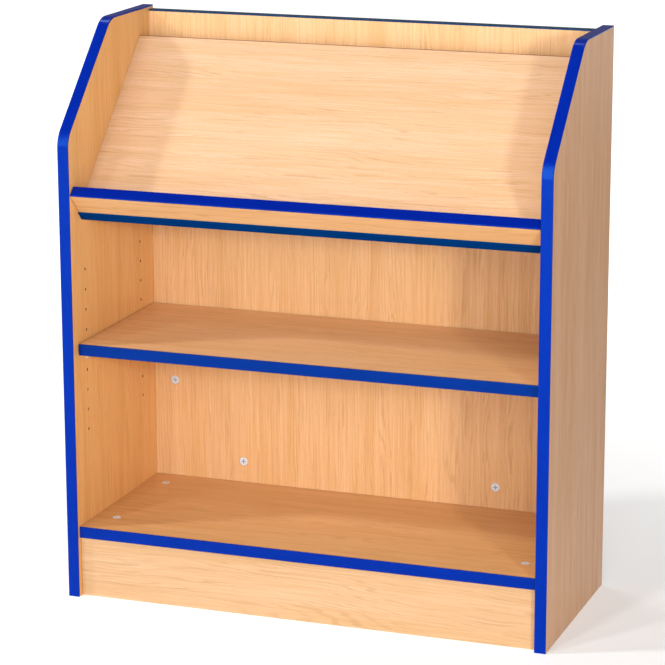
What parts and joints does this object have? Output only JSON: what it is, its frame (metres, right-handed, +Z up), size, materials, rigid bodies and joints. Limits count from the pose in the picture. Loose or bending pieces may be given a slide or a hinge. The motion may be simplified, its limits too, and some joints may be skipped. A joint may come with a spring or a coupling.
{
  "type": "display bookcase",
  "caption": "Display bookcase with shaped side panels, a sloping display board with a book ledge, an adjustable shelf, a base shelf on a plinth and coloured edging.",
  "frame": {"origin": "on the floor, under the middle of the case's width and depth", "axes": "+X to the right as seen from the front, +Y to the rear, +Z up; the open front faces -Y"},
  "size_m": [0.775, 0.33, 0.89],
  "materials": {
    "side_board": "beech-effect melamine on chipboard, upright grain, satin",
    "back_board": "beech-effect melamine on chipboard, upright grain, satin",
    "shelf_board": "beech-effect melamine on chipboard, grain along the length, satin",
    "edging": "bright blue plastic edging, satin",
    "beech_edging": "brown beech-effect plastic edging, satin",
    "shelf_support": "pale moulded nylon",
    "cam": "die-cast zinc, dull silver",
    "steel": "bright zinc-plated steel",
    "dowel": "bare turned beech"
  },
  "bodies": {
    "case": {"left_side_panel": "side_board", "right_side_panel": "side_board", "back_panel": "back_board", "base_shelf": "shelf_board", "plinth": "shelf_board", "display_slope": "shelf_board", "display_ledge": "shelf_board", "left_side_edging": "edging", "right_side_edging": "edging", "back_top_edging": "edging", "base_shelf_edging": "edging", "display_slope_edging": "edging", "display_ledge_edging": "edging", "display_slope_top_edging": "beech_edging", "shelf_support_left_front": "shelf_support", "shelf_support_left_rear": "shelf_support", "shelf_support_right_front": "shelf_support", "shelf_support_right_rear": "shelf_support", "base_cam_left_front": "cam", "base_cam_left_rear": "cam", "base_cam_right_front": "cam", "base_cam_right_rear": "cam", "back_cam_left_low": "cam", "back_cam_left_high": "cam", "back_cam_right_low": "cam", "back_cam_right_high": "cam", "back_foot_cam_left": "cam", "back_foot_cam_right": "cam", "slope_cam_left": "cam", "slope_cam_right": "cam", "plinth_cam_left": "cam", "plinth_cam_right": "cam", "base_bolt_left_front": "steel", "base_bolt_left_rear": "steel", "base_bolt_right_front": "steel", "base_bolt_right_rear": "steel", "back_bolt_left_low": "steel", "back_bolt_left_high": "steel", "back_bolt_right_low": "steel", "back_bolt_right_high": "steel", "back_foot_bolt_left": "steel", "back_foot_bolt_right": "steel", "slope_bolt_left": "steel", "slope_bolt_right": "steel", "plinth_bolt_left": "steel", "plinth_bolt_right": "steel", "ledge_screw_left": "steel", "ledge_screw_middle": "steel", "ledge_screw_right": "steel", "slope_dowel_left": "dowel", "slope_dowel_right": "dowel", "plinth_dowel_left": "dowel", "plinth_dowel_right": "dowel", "ledge_dowel_left": "dowel", "ledge_dowel_right": "dowel"},
    "shelf": {"adjustable_shelf": "shelf_board", "adjustable_shelf_edging": "edging"}
  },
  "joints": [
    {"name": "shelf_lift", "type": "slide", "parent": "case", "child": "shelf", "axis": [0, 0, 1], "range_m": [0, 0.189]}
  ]
}
